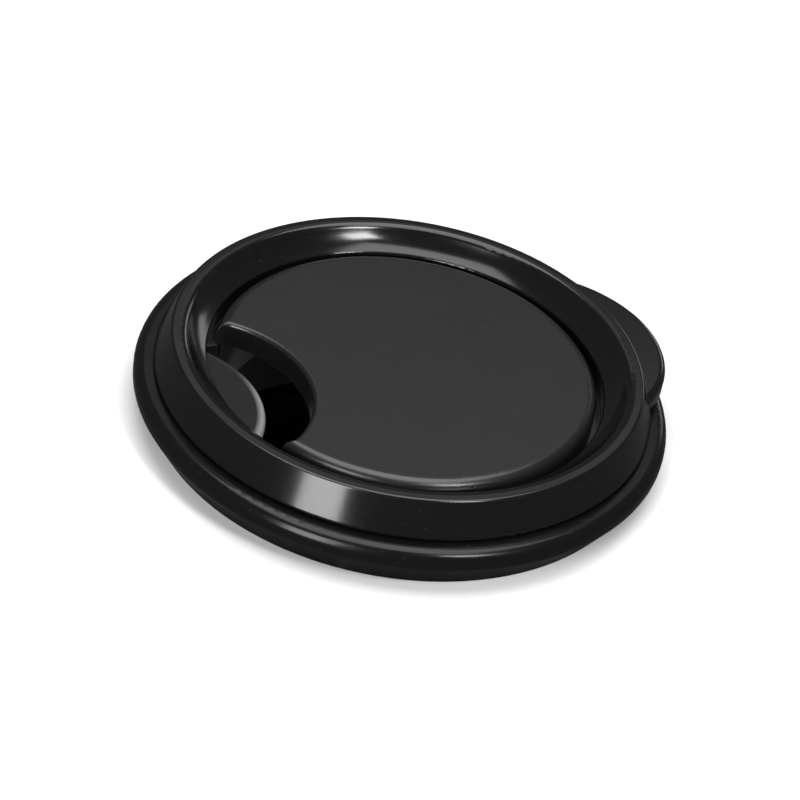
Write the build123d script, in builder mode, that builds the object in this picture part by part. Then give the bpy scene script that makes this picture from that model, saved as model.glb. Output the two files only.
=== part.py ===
"""Round desk grommet for an 80 mm worktop hole, with a lift-out lid and a sprung cable flap.

The worktop surface is z = 0 and the axis of the hole is Z. The cable slot faces -X and
the finger tab on the turning ring faces +X. Everything is in millimetres.
"""
import os
from math import cos, radians, sin

from build123d import *

os.makedirs("parts", exist_ok=True)

# ---- driving dimensions ---------------------------------------------------------------
hole_diameter = 80.0          # hole sawn in the worktop
flange_radius = 46.0          # widest part of the flange
flange_foot_radius = 42.7     # the flange tapers in to this where it meets the worktop
flange_widest = 5.2           # the taper ends at this height
flange_height = 8.2
sleeve_depth = 20.0
wall = 2.0                    # moulded wall of the liner's sleeve
gap = 0.3                     # between pieces that move past each other
turning_gap = 0.4             # between the liner and the ring that turns in it
root = 0.1                    # a small feature is sunk this far into the wall it grows from

rim_radius = 43.0             # foot of the turning ring's outer wall
rim_height = 14.9             # crest of the turning ring above the worktop
groove_radius = 34.2          # inner wall of the turning ring, round the lid
ledge_height = 7.6            # shelf of the turning ring that the lid sits on

lid_radius = 33.0
lid_height = 12.1             # top face of the lid above the worktop
lid_thickness = 2.6

slot_half_width = 16.2
slot_end = 18.6               # from the axis to the inner end of the cable slot
slot_end_radius = 20.0        # the slot's inner end is an arc of this radius
cable_gap = 8.0               # left open between the slot's end and the closed flap

tab_reach = 47.4              # tip of the finger tab, from the axis
tab_radius = 22.5             # plan radius of the finger tab

pin_radius = 0.8
pin_fit = 0.05                # radial clearance of the flap's knuckles on their pin
hinge_x = -32.8
hinge_z = 7.1
knuckle_radius = 1.5


def nearest_corner(sketch, across, up):
    """The vertex of a profile that is nearest to a point of its plane."""
    return sketch.vertices().sort_by_distance(Vector(across, up))[0]


# ---- liner: flange and sleeve, with four barbed tongues ----------------------------------
sleeve_radius = hole_diameter / 2 - 0.25
bore_radius = sleeve_radius - wall
lip_fillet = 2.0
lip_under_fillet = 1.0
small_fillet = 0.4
plain_sleeve_depth = 8.0      # full round part of the sleeve, which fits the hole
tongue_relief = 0.75          # below that the sleeve is this much smaller
snap_groove_top = -2.8
snap_groove_bottom = -5.8
snap_groove_depth = 0.85
barb_radius = hole_diameter / 2 - 0.05  # the tongues are drawn as the hole bends them in
barb_top = -14.0
barb_length = 3.5
barb_arc = 13.0               # degrees of the sleeve that one barb takes
tongue_count = 4
tongue_arc = 18.0             # degrees between the two cuts beside a tongue
cut_width = 1.4
cut_length = sleeve_depth - plain_sleeve_depth - wall
first_tongue = 45.0
relieved_radius = sleeve_radius - tongue_relief

with BuildPart() as liner:
    with BuildSketch(Plane.XZ) as liner_profile:
        with BuildLine():
            Polyline(
                (bore_radius, flange_height),
                (flange_radius, flange_height),
                (flange_radius, flange_widest),
                (flange_foot_radius, 0),
                (sleeve_radius, 0),
                (sleeve_radius, -plain_sleeve_depth),
                (relieved_radius, -plain_sleeve_depth - tongue_relief),
                (relieved_radius, -sleeve_depth),
                (bore_radius, -sleeve_depth),
                (bore_radius, snap_groove_bottom),
                (bore_radius + snap_groove_depth, snap_groove_bottom + snap_groove_depth),
                (bore_radius + snap_groove_depth, snap_groove_top),
                (bore_radius, snap_groove_top),
                close=True,
            )
        make_face()
        fillet(nearest_corner(liner_profile, flange_radius, flange_height), lip_fillet)
        fillet(nearest_corner(liner_profile, flange_radius, flange_widest), lip_under_fillet)
        fillet(nearest_corner(liner_profile, flange_foot_radius, 0), small_fillet)
        fillet(nearest_corner(liner_profile, bore_radius, flange_height), small_fillet)
    revolve(axis=Axis.Z)
    for index in range(tongue_count):
        tongue_angle = first_tongue + index * 360 / tongue_count
        for side in (-1, 1):
            cut_angle = tongue_angle + side * tongue_arc / 2
            with BuildSketch(Plane.XY.offset(-sleeve_depth).rotated((0, 0, cut_angle))):
                with Locations((sleeve_radius - wall / 2, 0)):
                    Rectangle(3 * wall, cut_width)
            extrude(amount=cut_length, mode=Mode.SUBTRACT)
        with BuildSketch(Plane.XZ.rotated((0, 0, tongue_angle - barb_arc / 2))):
            with BuildLine():
                Polyline(
                    (relieved_radius - wall / 2, barb_top),
                    (barb_radius, barb_top),
                    (relieved_radius, barb_top - barb_length),
                    (relieved_radius - wall / 2, barb_top - barb_length),
                    close=True,
                )
            make_face()
        revolve(axis=Axis.Z, revolution_arc=barb_arc)
liner.part.label = "liner"
export_step(liner.part, "parts/liner.step")

# ---- turning ring: raised rim with a finger tab, clipped into the liner ------------------
skirt_outer = bore_radius - turning_gap
skirt_inner = skirt_outer - 1.45
skirt_depth = 6.0
clip_reach = 0.5
clip_height = 1.6
ring_base = flange_height + turning_gap
guide_inner = 32.3            # the lid's skirt slides inside this wall
guide_outer = 34.0
guide_bottom = 3.9
web_bottom = 6.1
groove_top = 11.2             # foot of the dished slope, beside the lid
slope_sag = 0.25
crest_inner = 38.0
crest_outer = 40.4            # the outer wall leans in to this at the crest
crest_fillet = 1.8            # towards the dish
crest_edge_fillet = 0.6       # towards the outer wall
tab_top = 12.9
tab_base = 9.2
tab_root_radius = 40.2        # the tab starts this far from the axis, inside the ring's wall
tab_fillet = 1.3
skirt_slots = 8
window_half_width = 16.3
window_bottom = 3.7
window_top = 10.1
knuckle_start = 4.8           # one knuckle of the flap, from the middle of the hinge
knuckle_end = 8.1
post_start = knuckle_end + gap
post_end = 10.4
post_web = 1.7
heel_end = 6.5
heel_x = -34.8                # back of the heel that stops the flap when it is closed
heel_bottom = 6.5
heel_air = 0.1                # air under the heels in this model
shelf_x = heel_x + 0.3
shelf_thickness = 1.3

# the finger tab is a round lobe opposite the slot, cut off inside the ring's outer wall
tab_centre = tab_reach - tab_radius
with BuildPart() as finger_tab:
    with BuildSketch(Plane.XZ) as tab_profile:
        with Locations((tab_centre, tab_base)):
            Rectangle(tab_radius, tab_top - tab_base, align=(Align.MIN, Align.MIN))
        fillet(nearest_corner(tab_profile, tab_reach, tab_top), tab_fillet)
        fillet(nearest_corner(tab_profile, tab_reach, tab_base), small_fillet)
    revolve(axis=Axis((tab_centre, 0, 0), (0, 0, 1)))
    with BuildSketch(Plane.XY.offset(tab_base)):
        Circle(tab_root_radius)
    extrude(amount=tab_top - tab_base, mode=Mode.SUBTRACT)

with BuildPart() as turning_ring:
    with BuildSketch(Plane.XZ) as ring_profile:
        with BuildLine():
            Polyline(
                (crest_inner, rim_height),
                (crest_outer, rim_height),
                (rim_radius, ring_base),
                (skirt_outer, ring_base),
                (skirt_outer, clip_height - skirt_depth),
                (skirt_outer + clip_reach, clip_height - skirt_depth),
                (skirt_outer, -skirt_depth),
                (skirt_inner, -skirt_depth),
                (skirt_inner, web_bottom),
                (guide_outer, web_bottom),
                (guide_outer, guide_bottom),
                (guide_inner, guide_bottom),
                (guide_inner, ledge_height),
                (groove_radius, ledge_height),
                (groove_radius, groove_top),
            )
            ThreePointArc(
                (groove_radius, groove_top),
                (
                    (groove_radius + crest_inner) / 2 + slope_sag,
                    (groove_top + rim_height) / 2 - slope_sag,
                ),
                (crest_inner, rim_height),
            )
        make_face()
        fillet(nearest_corner(ring_profile, crest_inner, rim_height), crest_fillet)
        fillet(nearest_corner(ring_profile, crest_outer, rim_height), crest_edge_fillet)
        fillet(nearest_corner(ring_profile, rim_radius, ring_base), small_fillet)
        fillet(nearest_corner(ring_profile, groove_radius, groove_top), small_fillet)
    revolve(axis=Axis.Z)
    add(finger_tab.part)
    # cuts that let the clipped skirt spring
    for index in range(skirt_slots):
        slot_angle = (index + 0.5) * 360 / skirt_slots
        with BuildSketch(Plane.XY.offset(-skirt_depth).rotated((0, 0, slot_angle))):
            with Locations((skirt_inner, 0)):
                Rectangle(2 * wall, cut_width)
        extrude(amount=skirt_depth + window_bottom, mode=Mode.SUBTRACT)
    # window that the flap swings down through
    with BuildSketch(Plane.XY.offset(window_bottom)):
        Circle(skirt_inner)
        with Locations((-skirt_inner, 0)):
            Rectangle(skirt_inner, 2 * window_half_width, mode=Mode.INTERSECT)
    extrude(amount=window_top - window_bottom, mode=Mode.SUBTRACT)
    # two posts that hold the hinge pin, and the shelf that the flap's heels rest on
    for side in (-1, 1):
        with BuildSketch(Plane.XZ.offset(side * post_start)):
            with Locations((hinge_x, hinge_z)):
                Circle(knuckle_radius)
            with Locations((hinge_x, hinge_z - knuckle_radius)):
                Rectangle(skirt_inner + root + hinge_x, post_web, align=(Align.MAX, Align.MIN))
        extrude(amount=side * (post_end - post_start))
    with BuildSketch(Plane.XZ):
        with Locations((hinge_x, hinge_z)):
            Circle(pin_radius)
    extrude(amount=post_end, both=True, mode=Mode.SUBTRACT)
    with BuildSketch(Plane.XY.offset(heel_bottom - heel_air)):
        Circle((skirt_inner + skirt_outer) / 2)
        with Locations((shelf_x, 0)):
            Rectangle(2 * wall, 2 * heel_end, align=(Align.MAX, Align.CENTER), mode=Mode.INTERSECT)
    extrude(amount=-shelf_thickness)
turning_ring.part.label = "turning_ring"
export_step(turning_ring.part, "parts/turning_ring.step")

# ---- lid: flat plate with the cable slot, lifts out of the turning ring ------------------
lid_skirt_outer = guide_inner - gap
lid_skirt_inner = lid_skirt_outer - 1.6
lid_skirt_depth = 3.0
seat = 0.1                    # air between the lid's rim and the ledge in this model
lid_edge_fillet = 2.0         # round the lid's outer edge
slot_edge_fillet = 0.8        # along the top of the slot
blank_radius = 40.0           # the slot is made in a blank larger than the lid
slot_corner = 3.0             # rounding between the slot's end and its straight sides
slot_length = 20.0            # more than enough to cut through the lid's edge
collar_wall = 1.5             # collar under the plate round the slot
slot_end_centre = -(slot_end + slot_end_radius)
flap_clearance_x = -22.0

with BuildSketch() as slot_outline:
    with Locations((slot_end_centre, 0)):
        Circle(slot_end_radius)
        Rectangle(2 * slot_length, 2 * slot_half_width, align=Align.CENTER, mode=Mode.INTERSECT)
    slot_corners = slot_outline.vertices().sort_by(Axis.X)[-2:]
    fillet(slot_corners, slot_corner)

# the slot with its rounded upper edge, in a blank that the lid is then cut from
with BuildPart() as slotted_blank:
    with BuildSketch(Plane.XY.offset(lid_height)):
        Circle(blank_radius)
        add(slot_outline.sketch, mode=Mode.SUBTRACT)
    extrude(amount=-lid_height - lid_skirt_depth)
    top_edges = slotted_blank.faces().sort_by(Axis.Z)[-1].edges()
    slot_edges = top_edges.sort_by(SortBy.LENGTH)[:-1]  # all but the blank's own circle
    fillet(slot_edges, slot_edge_fillet)

with BuildPart() as lid:
    with BuildSketch(Plane.XZ) as lid_profile:
        with BuildLine():
            Polyline(
                (0, lid_height),
                (lid_radius, lid_height),
                (lid_radius, ledge_height + seat),
                (lid_skirt_outer, ledge_height + seat),
                (lid_skirt_outer, -lid_skirt_depth),
                (lid_skirt_inner, -lid_skirt_depth),
                (lid_skirt_inner, lid_height - lid_thickness),
                (0, lid_height - lid_thickness),
                close=True,
            )
        make_face()
        fillet(nearest_corner(lid_profile, lid_radius, lid_height), lid_edge_fillet)
    revolve(axis=Axis.Z)
    with BuildSketch(Plane.XY.offset(-lid_skirt_depth)):
        with Locations((flap_clearance_x, 0)):
            Rectangle(slot_length, 2 * window_half_width, align=(Align.MAX, Align.CENTER))
    extrude(amount=lid_height - lid_thickness + lid_skirt_depth, mode=Mode.SUBTRACT)
    with BuildSketch(Plane.XY.offset(ledge_height + seat)):
        add(slot_outline.sketch)
        offset(amount=collar_wall)
        Circle(lid_skirt_outer, mode=Mode.INTERSECT)
    extrude(amount=lid_height - lid_thickness - ledge_height)
    add(slotted_blank.part, mode=Mode.INTERSECT)
lid.part.label = "lid"
export_step(lid.part, "parts/lid.step")

# ---- cable flap: curved tongue in the slot, hinged on the turning ring -------------------
flap_top = 9.7
flap_thickness = 2.0
flap_back = groove_radius - 0.2
flap_tip_x = -(slot_end + cable_gap)
flap_tip_radius = 19.0
tip_fillet = 1.2              # along the top of the tip
tip_under_fillet = 0.6
knuckle_rise = flap_top - hinge_z - tip_fillet
pivot_clearance = 1.75        # radius cleared round the hinge between the knuckles

with BuildPart() as cable_flap:
    with BuildSketch(Plane.XY.offset(flap_top - flap_thickness)):
        with Locations((flap_tip_x - flap_tip_radius, 0)):
            Circle(flap_tip_radius)
        Circle(flap_back, mode=Mode.INTERSECT)
    extrude(amount=flap_thickness)
    tip_edges = cable_flap.edges().filter_by(GeomType.CIRCLE)
    tip_edges = tip_edges.filter_by(lambda edge: abs(edge.radius - flap_tip_radius) < 0.01)
    fillet(tip_edges.sort_by(Axis.Z)[-1], tip_fillet)
    fillet(tip_edges.sort_by(Axis.Z)[0], tip_under_fillet)
    with BuildSketch(Plane.XZ):
        with Locations((hinge_x, hinge_z)):
            Circle(pivot_clearance)
    extrude(amount=post_end + gap, both=True, mode=Mode.SUBTRACT)
    for side in (-1, 1):
        with BuildSketch(Plane.XZ.offset(side * knuckle_start)):
            with Locations((hinge_x, hinge_z)):
                Circle(knuckle_radius)
                Rectangle(2 * knuckle_radius, knuckle_rise, align=(Align.CENTER, Align.MIN))
        extrude(amount=side * (knuckle_end - knuckle_start))
        with BuildSketch(Plane.XZ.offset(side * knuckle_start)):
            with Locations((heel_x, heel_bottom)):
                Rectangle(hinge_x - heel_x, hinge_z - heel_bottom, align=(Align.MIN, Align.MIN))
        extrude(amount=side * (heel_end - knuckle_start))
    with BuildSketch(Plane.XZ):
        with Locations((hinge_x, hinge_z)):
            Circle(pin_radius + pin_fit)
    extrude(amount=post_end, both=True, mode=Mode.SUBTRACT)
cable_flap.part.label = "cable_flap"
export_step(cable_flap.part, "parts/cable_flap.step")

# ---- hinge pin of the flap ---------------------------------------------------------------
pin_chamfer = 0.2
with BuildPart() as flap_pin:
    with BuildSketch(Plane.XZ.offset(-post_end)):
        with Locations((hinge_x, hinge_z)):
            Circle(pin_radius)
    extrude(amount=2 * post_end)
    chamfer(flap_pin.edges().filter_by(GeomType.CIRCLE), pin_chamfer)
flap_pin.part.label = "flap_pin"
export_step(flap_pin.part, "parts/flap_pin.step")

# ---- torsion spring of the flap ----------------------------------------------------------
wire_diameter = 0.4
coil_radius = 1.15
coil_pitch = 0.55
coil_turns = 7
leg_angle = 16.0              # legs leave the foot of the coil this much off level
flap_leg_length = 3.8
ring_leg_length = 1.8
coil_length = coil_pitch * coil_turns
coil_start = Plane(
    origin=(hinge_x, -coil_length / 2, hinge_z),
    x_dir=(sin(radians(leg_angle)), 0, -cos(radians(leg_angle))),
    z_dir=(0, 1, 0),
)
# made outside the block because a helix in a BuildLine keeps to its own axes
coil = coil_start * Helix(pitch=coil_pitch, height=coil_length, radius=coil_radius)

with BuildPart() as flap_spring:
    with BuildSketch(Plane(origin=coil @ 0, z_dir=coil % 0)):
        Circle(wire_diameter / 2)
    sweep(path=coil)
    for end, length in ((0, -flap_leg_length), (1, ring_leg_length)):
        with BuildSketch(Plane(origin=coil @ end, z_dir=coil % end)):
            Circle(wire_diameter / 2)
        extrude(amount=length)
flap_spring.part.label = "flap_spring"
export_step(flap_spring.part, "parts/flap_spring.step")
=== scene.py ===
"""Black plastic desk grommet on a pale worktop: materials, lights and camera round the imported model."""
from math import cos, pi, radians, sin

import bmesh
import bpy
from mathutils import Matrix, Vector


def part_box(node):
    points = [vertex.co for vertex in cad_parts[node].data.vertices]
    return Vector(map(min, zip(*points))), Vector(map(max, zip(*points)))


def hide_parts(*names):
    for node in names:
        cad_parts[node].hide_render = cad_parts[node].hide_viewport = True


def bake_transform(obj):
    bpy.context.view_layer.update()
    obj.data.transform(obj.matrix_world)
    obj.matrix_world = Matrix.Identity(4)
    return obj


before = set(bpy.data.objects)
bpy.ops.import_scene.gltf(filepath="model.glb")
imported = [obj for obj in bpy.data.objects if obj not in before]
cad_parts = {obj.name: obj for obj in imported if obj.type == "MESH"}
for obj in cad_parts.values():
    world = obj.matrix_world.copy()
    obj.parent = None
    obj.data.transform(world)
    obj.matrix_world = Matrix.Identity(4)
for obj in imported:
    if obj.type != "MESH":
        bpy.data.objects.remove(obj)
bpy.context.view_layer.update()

# ---- sizes and places, in metres, from the frame -------------------------------------------
flange_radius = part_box("liner")[1][1]
surface_z = 0.0

# ---- camera --------------------------------------------------------------------------------
CAMERA_AZIMUTH = 241.0        # direction of the camera from the axis, degrees from +X
CAMERA_ELEVATION = 36.1
CAMERA_ROLL = 11.0            # the object's right side is lower in the picture
CAMERA_DISTANCE = 10.0 * flange_radius
CAMERA_TARGET_Z = 0.0040
LENS = 120.6                  # millimetres, on a sensor 36 mm wide
SENSOR = 36.0


def direction(azimuth, elevation):
    """Unit vector from the object towards a compass direction and height, in degrees."""
    a, e = radians(azimuth), radians(elevation)
    return Vector((cos(e) * cos(a), cos(e) * sin(a), sin(e)))


def add_camera():
    view = direction(CAMERA_AZIMUTH, CAMERA_ELEVATION)
    target = Vector((0.0, 0.0, CAMERA_TARGET_Z))
    data = bpy.data.cameras.new("camera")
    data.sensor_width = SENSOR
    data.lens = LENS
    data.clip_start = 0.01
    data.clip_end = 20.0
    camera = bpy.data.objects.new("camera", data)
    bpy.context.scene.collection.objects.link(camera)
    look = view.to_track_quat("Z", "Y").to_matrix().to_4x4()
    roll = Matrix.Rotation(radians(CAMERA_ROLL), 4, "Z")
    camera.matrix_world = Matrix.Translation(target + view * CAMERA_DISTANCE) @ look @ roll
    bpy.context.scene.camera = camera


# ---- materials -----------------------------------------------------------------------------
class Surface:
    """A procedural material in object coordinates, so that its detail has a real size in metres
    and travels with the piece."""

    def __init__(self, name):
        self.material = bpy.data.materials.new(name)
        self.material.use_nodes = True
        self.tree = self.material.node_tree
        self.shader = self.tree.nodes["Principled BSDF"]
        self.coordinates = self.node("ShaderNodeTexCoord").outputs["Object"]

    def node(self, kind, **settings):
        """A new node with its settings."""
        new = self.tree.nodes.new(kind)
        for name, value in settings.items():
            setattr(new, name, value)
        return new

    def link(self, source, target):
        self.tree.links.new(source, target)

    def noise(self, size, detail=3.0, stretch=(1.0, 1.0, 1.0), rough=0.55):
        """Noise whose features are about size metres across, drawn out along an axis by stretch."""
        mapping = self.node("ShaderNodeMapping")
        mapping.inputs["Scale"].default_value = [1.0 / s for s in stretch]
        noise = self.node("ShaderNodeTexNoise")
        noise.inputs["Scale"].default_value = 1.0 / size
        noise.inputs["Detail"].default_value = detail
        noise.inputs["Roughness"].default_value = rough
        self.link(self.coordinates, mapping.inputs["Vector"])
        self.link(mapping.outputs["Vector"], noise.inputs["Vector"])
        return noise.outputs["Fac"]

    def remap(self, value, from_low, from_high, to_low, to_high):
        """value carried from one range to another, and held inside it."""
        node = self.node("ShaderNodeMapRange")
        node.inputs["From Min"].default_value = from_low
        node.inputs["From Max"].default_value = from_high
        node.inputs["To Min"].default_value = to_low
        node.inputs["To Max"].default_value = to_high
        self.link(value, node.inputs["Value"])
        return node.outputs["Result"]

    def maths(self, operation, a, b):
        node = self.node("ShaderNodeMath", operation=operation)
        for socket, value in zip(node.inputs, (a, b)):
            if isinstance(value, float):
                socket.default_value = value
            else:
                self.link(value, socket)
        return node.outputs["Value"]

    def mixed(self, factor, first, second):
        """A colour between two colours."""
        node = self.node("ShaderNodeMix", data_type="RGBA")
        node.inputs[6].default_value = (*first, 1.0)
        node.inputs[7].default_value = (*second, 1.0)
        self.link(factor, node.inputs[0])
        return node.outputs[2]

    def rounded(self, radius):
        """The surface's normal with every edge rounded by radius."""
        bevel = self.node("ShaderNodeBevel", samples=6)
        bevel.inputs["Radius"].default_value = radius
        return bevel.outputs["Normal"]

    def edges(self, radius):
        """Near 1 on the edges of the piece and 0 on its flats."""
        plain = self.node("ShaderNodeNewGeometry").outputs["Normal"]
        dot = self.node("ShaderNodeVectorMath", operation="DOT_PRODUCT")
        self.link(plain, dot.inputs[0])
        self.link(self.rounded(radius), dot.inputs[1])
        return self.remap(dot.outputs["Value"], EDGE_FLAT, EDGE_SHARP, 0.0, 1.0)

    def bump(self, height, depth, normal=None):
        """height pressed into the surface by depth metres, on top of normal."""
        bump = self.node("ShaderNodeBump")
        bump.inputs["Distance"].default_value = depth
        bump.inputs["Strength"].default_value = 1.0
        self.link(height, bump.inputs["Height"])
        if normal is not None:
            self.link(normal, bump.inputs["Normal"])
        return bump.outputs["Normal"]


def plastic(name, base, wear_and_highlight, roughness, spread, specular, grain, grain_depth, highlight_mask=None):
    """Moulded plastic: fine grain, slow waves of the mould, handling marks and worn edges. The last
    argument, if given, makes the mask of a painted highlight, laid on in the same pale colour as the
    marks."""
    surface = Surface(name)
    waves = surface.noise(WAVE_SIZE, detail=1.0)
    grain_noise = surface.noise(grain, detail=2.0)
    scuffs = surface.noise(SCUFF_WIDTH, detail=4.0, stretch=SCUFF_STRETCH, rough=0.7)
    smudge = surface.noise(SMUDGE_SIZE, detail=3.0)
    scuffed = surface.remap(scuffs, SCUFF_FROM, SCUFF_TO, 0.0, 1.0)
    scuffed = surface.maths("MULTIPLY", scuffed, SCUFF_SHARE)
    patchy = surface.remap(smudge, 0.35, 0.65, EDGE_LEAST_WORN, 1.0)
    edge = surface.maths("MULTIPLY", surface.edges(EDGE_WIDTH), patchy)
    marks_and_highlight = surface.maths("MAXIMUM", scuffed, edge)
    # on the flap, a painted highlight along its tip is mixed in over its own wear marks
    if highlight_mask is not None:
        marks_and_highlight = surface.maths("MULTIPLY", marks_and_highlight, FLAP_MARKS_SHARE)
        marks_and_highlight = surface.maths("MAXIMUM", marks_and_highlight, highlight_mask(surface))
    surface.link(surface.mixed(marks_and_highlight, base, wear_and_highlight), surface.shader.inputs["Base Color"])
    varied = surface.remap(smudge, 0.3, 0.7, roughness - spread, roughness + spread)
    rougher = surface.maths("MULTIPLY", marks_and_highlight, SCUFF_ROUGHNESS)
    surface.link(surface.maths("ADD", varied, rougher), surface.shader.inputs["Roughness"])
    normal = surface.bump(waves, WAVE_DEPTH, surface.rounded(EDGE_ROUND))
    surface.link(surface.bump(grain_noise, grain_depth, normal), surface.shader.inputs["Normal"])
    surface.shader.inputs["Specular IOR Level"].default_value = specular
    return surface.material


def flap_tip_highlight(surface):
    """A painted highlight along the rounded tip of the flap, strongest on the side where Y is low."""
    flat = surface.node("ShaderNodeMapping")
    flat.inputs["Scale"].default_value = (1.0, 1.0, 0.0)
    surface.link(surface.coordinates, flat.inputs["Vector"])
    distance = surface.node("ShaderNodeVectorMath", operation="DISTANCE")
    distance.inputs[1].default_value = (FLAP_TIP_CENTRE, 0.0, 0.0)
    surface.link(flat.outputs["Vector"], distance.inputs[0])
    inside = FLAP_TIP_RADIUS - TIP_HIGHLIGHT_WIDTH - TIP_HIGHLIGHT_FADE
    tip = surface.remap(distance.outputs["Value"], inside, FLAP_TIP_RADIUS - TIP_HIGHLIGHT_WIDTH, 0.0, 1.0)
    across = surface.node("ShaderNodeSeparateXYZ")
    surface.link(surface.coordinates, across.inputs["Vector"])
    side = surface.remap(across.outputs["Y"], TIP_HIGHLIGHT_SIDE, TIP_HIGHLIGHT_DIM_SIDE, 1.0, TIP_HIGHLIGHT_DIM_SHARE)
    return surface.maths("MULTIPLY", tip, side)


def steel(name, base, dark, roughness, size, stretch, depth):
    """Drawn or ground steel, with fine lines along it and a trace of oil."""
    surface = Surface(name)
    lines = surface.noise(size, detail=3.0, stretch=stretch)
    stain = surface.noise(STAIN_SIZE, detail=3.0)
    stained = surface.remap(stain, 0.45, 0.7, 0.0, 1.0)
    surface.link(surface.mixed(stained, base, dark), surface.shader.inputs["Base Color"])
    varied = surface.remap(lines, 0.3, 0.7, roughness - 0.08, roughness + 0.12)
    surface.link(varied, surface.shader.inputs["Roughness"])
    surface.link(surface.bump(lines, depth), surface.shader.inputs["Normal"])
    surface.shader.inputs["Metallic"].default_value = 1.0
    return surface.material


WAVE_SIZE = 0.008             # slow unevenness of moulded faces
WAVE_DEPTH = 0.000012
SCUFF_WIDTH = 0.0006          # short marks of handling
SCUFF_STRETCH = (5.0, 1.0, 1.0)
SCUFF_FROM = 0.62             # marks begin where their noise passes this
SCUFF_TO = 0.74               # and are full from here
SCUFF_SHARE = 0.5
SCUFF_ROUGHNESS = 0.12
SMUDGE_SIZE = 0.012           # patches of finger grease and dust
EDGE_WIDTH = 0.0004           # how far wear reaches in from an edge
EDGE_FLAT = 0.995             # cosine between the true and the rounded normal on a flat face
EDGE_SHARP = 0.90             # and on a worn edge
EDGE_LEAST_WORN = 0.3
STAIN_SIZE = 0.002
EDGE_ROUND = 0.00025          # edges of the gloss pieces look rounded by this much

BLACK = (0.0045, 0.0045, 0.0044)
CHARCOAL = (0.008, 0.008, 0.0078)
WORN = (0.030, 0.030, 0.030)
# pale colour of the painted highlight on the flap's tip, towards which its own wear marks are mixed too
TIP_HIGHLIGHT = (0.260, 0.260, 0.256)
FLAP_MARKS_SHARE = 0.1             # the flap's own wear marks, as a share of its painted tip highlight
TIP_HIGHLIGHT_WIDTH = 0.0006         # width of the painted highlight band along the tip
TIP_HIGHLIGHT_FADE = 0.0010          # over which it fades inwards
TIP_HIGHLIGHT_SIDE = -0.001          # it is full where Y is below this
TIP_HIGHLIGHT_DIM_SIDE = 0.006            # and least where Y is above this
TIP_HIGHLIGHT_DIM_SHARE = 0.15
FLAP_TIP_RADIUS = 0.019
FLAP_TIP_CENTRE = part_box("cable_flap")[1][0] - FLAP_TIP_RADIUS

PIN_LINES = (1.0, 12.0, 1.0)  # the pin is drawn along Y
SPRING_LINES = (1.0, 1.0, 1.0)

liner_plastic = plastic(
    "liner_plastic",
    BLACK,
    WORN,
    roughness=0.20,
    spread=0.04,
    specular=0.25,
    grain=0.0005,
    grain_depth=0.0000015,
)
ring_plastic = plastic(
    "ring_plastic",
    BLACK,
    WORN,
    roughness=0.15,
    spread=0.03,
    specular=0.45,
    grain=0.0005,
    grain_depth=0.0000015,
)
lid_plastic = plastic(
    "lid_plastic",
    CHARCOAL,
    WORN,
    roughness=0.28,
    spread=0.03,
    specular=0.55,
    grain=0.00028,
    grain_depth=0.000006,
)
flap_plastic = plastic(
    "flap_plastic",
    BLACK,
    TIP_HIGHLIGHT,
    roughness=0.22,
    spread=0.04,
    specular=0.40,
    grain=0.0004,
    grain_depth=0.000003,
    highlight_mask=flap_tip_highlight,
)
pin_steel = steel(
    "pin_steel",
    base=(0.55, 0.56, 0.57),
    dark=(0.30, 0.29, 0.27),
    roughness=0.26,
    size=0.0001,
    stretch=PIN_LINES,
    depth=0.000002,
)
spring_steel = steel(
    "spring_steel",
    base=(0.42, 0.43, 0.45),
    dark=(0.20, 0.19, 0.18),
    roughness=0.34,
    size=0.00012,
    stretch=SPRING_LINES,
    depth=0.000003,
)

FINISHES = {
    "liner": liner_plastic,
    "turning_ring": ring_plastic,
    "lid": lid_plastic,
    "cable_flap": flap_plastic,
    "flap_pin": pin_steel,
    "flap_spring": spring_steel,
}
for node, material in FINISHES.items():
    for material_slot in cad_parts[node].material_slots:
        material_slot.material = material

# ---- spring --------------------------------------------------------------------------------
def add_spring():
    """The torsion spring, which in the grommet the flap winds up, one leg going with the flap and the
    other staying on the ring: here a plain copy of the rigid one takes its place, and its coil does not
    turn."""
    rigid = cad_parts["flap_spring"]
    spring = bpy.data.objects.new("torsion_spring", rigid.data.copy())
    spring.matrix_world = rigid.matrix_world.copy()
    bpy.context.scene.collection.objects.link(spring)
    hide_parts("flap_spring")
    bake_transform(spring)


add_spring()

# ---- worktop -------------------------------------------------------------------------------
HOLE_RADIUS = 0.040           # the worktop's hole, which the sleeve stands in
WORKTOP_SIZE = 3.0            # radius of the floor
WORKTOP_THICKNESS = 0.025
HOLE_STEPS = 128


def circle(mesh, radius, z):
    """A ring of vertices round the axis."""
    steps = [2 * pi * i / HOLE_STEPS for i in range(HOLE_STEPS)]
    return [mesh.verts.new((radius * cos(a), radius * sin(a), z)) for a in steps]


def bridge(mesh, inner, outer):
    """Quads between two rings of vertices."""
    count = len(inner)
    for i in range(count):
        j = (i + 1) % count
        mesh.faces.new((inner[i], outer[i], outer[j], inner[j]))


def add_floor():
    """A pale worktop with the sawn hole in it, closed below so that the hole is dark inside; the hole's
    walls and floor also get a near-black colour as painted shade.
    """
    mesh = bmesh.new()
    top = circle(mesh, HOLE_RADIUS, surface_z)
    rim = circle(mesh, WORKTOP_SIZE, surface_z)
    bottom = circle(mesh, HOLE_RADIUS, surface_z - WORKTOP_THICKNESS)
    bridge(mesh, top, rim)
    bridge(mesh, bottom, top)
    mesh.faces.new(bottom)
    data = bpy.data.meshes.new("floor")
    mesh.to_mesh(data)
    mesh.free()
    floor = bpy.data.objects.new("floor", data)
    bpy.context.scene.collection.objects.link(floor)
    return floor


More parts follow.
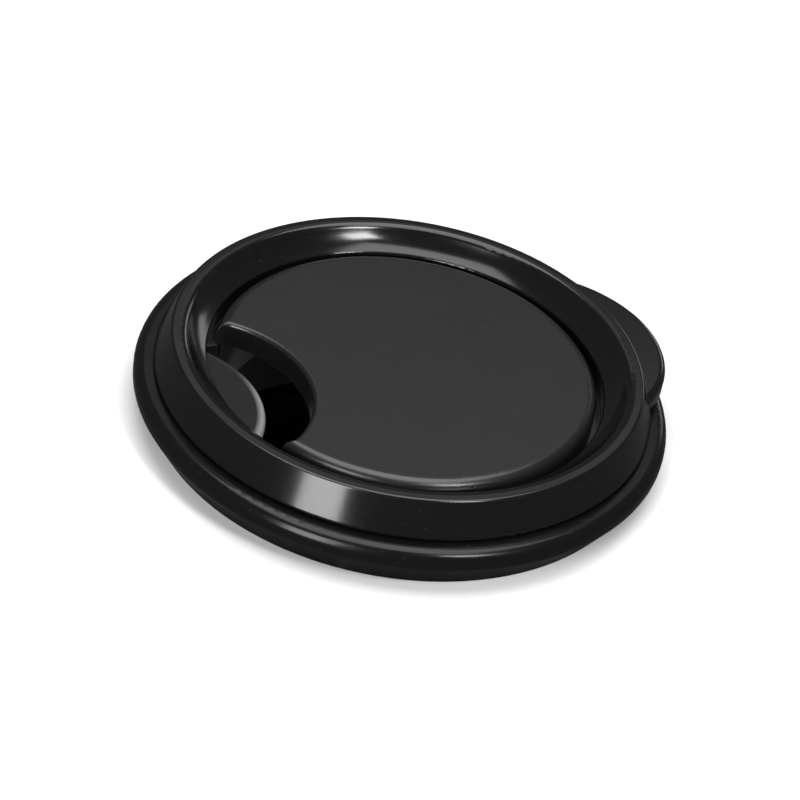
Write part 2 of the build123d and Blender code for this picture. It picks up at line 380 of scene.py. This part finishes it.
def matt(name, color, mottle, size, roughness):
    """A plain matt surface, faintly mottled."""
    surface = Surface(name)
    speckle = surface.remap(surface.noise(size, detail=4.0), 0.3, 0.7, 0.0, 1.0)
    surface.link(surface.mixed(speckle, color, mottle), surface.shader.inputs["Base Color"])
    surface.shader.inputs["Roughness"].default_value = roughness
    surface.shader.inputs["Specular IOR Level"].default_value = 0.1
    return surface.material


floor = add_floor()
WHITE = (0.92, 0.92, 0.92)
WHITE_MOTTLE = (0.91, 0.91, 0.91)
# near-black painted shade for the walls and floor of the hole
HOLE_SHADE_COLOUR = (0.010, 0.010, 0.010)
HOLE_SHADE_MOTTLE = (0.006, 0.006, 0.006)
floor.data.materials.append(matt("floor_white", WHITE, WHITE_MOTTLE, size=0.004, roughness=0.7))
floor.data.materials.append(matt("hole_painted_shade", HOLE_SHADE_COLOUR, HOLE_SHADE_MOTTLE, size=0.002, roughness=0.9))
# the top face gets the white, the hole's walls and floor the painted shade
for face in floor.data.polygons:
    face.material_index = 0 if face.center.z > surface_z - 1e-6 else 1
floor.visible_glossy = False   # so that the gloss sides stay black, and don't mirror the floor

# ---- lights --------------------------------------------------------------------------------
world = bpy.data.worlds.new("world")
bpy.context.scene.world = world
world.use_nodes = True
world.node_tree.nodes["Background"].inputs["Color"].default_value = (1, 1, 1, 1)
world.node_tree.nodes["Background"].inputs["Strength"].default_value = 0.10


def softbox(name, azimuth, elevation, distance, width, height, radiance):
    """A rectangular light that faces the object, placed by its direction in the picture's frame,
    where 270 degrees is the camera's side. radiance is its brightness, 1 being white paper."""
    data = bpy.data.lights.new(name, "AREA")
    data.shape = "RECTANGLE"
    data.size = width
    data.size_y = height
    data.energy = radiance * pi * width * height
    light = bpy.data.objects.new(name, data)
    bpy.context.scene.collection.objects.link(light)
    towards = direction(azimuth + CAMERA_AZIMUTH - 270.0, elevation)
    facing = towards.to_track_quat("Z", "Y").to_matrix().to_4x4()
    light.matrix_world = Matrix.Translation(towards * distance) @ facing


add_camera()
softbox("top", azimuth=90, elevation=84, distance=1.4, width=1.2, height=1.2, radiance=4.2)
softbox("back", azimuth=92, elevation=43, distance=1.5, width=1.0, height=0.45, radiance=0.5)
softbox("back_right", azimuth=64, elevation=13, distance=1.5, width=0.5, height=0.26, radiance=2.0)
softbox("key", azimuth=246, elevation=22, distance=1.0, width=0.34, height=0.72, radiance=12.0)
softbox("second", azimuth=316, elevation=51, distance=1.2, width=0.24, height=0.24, radiance=26.0)

bpy.context.scene.view_settings.view_transform = "Standard"
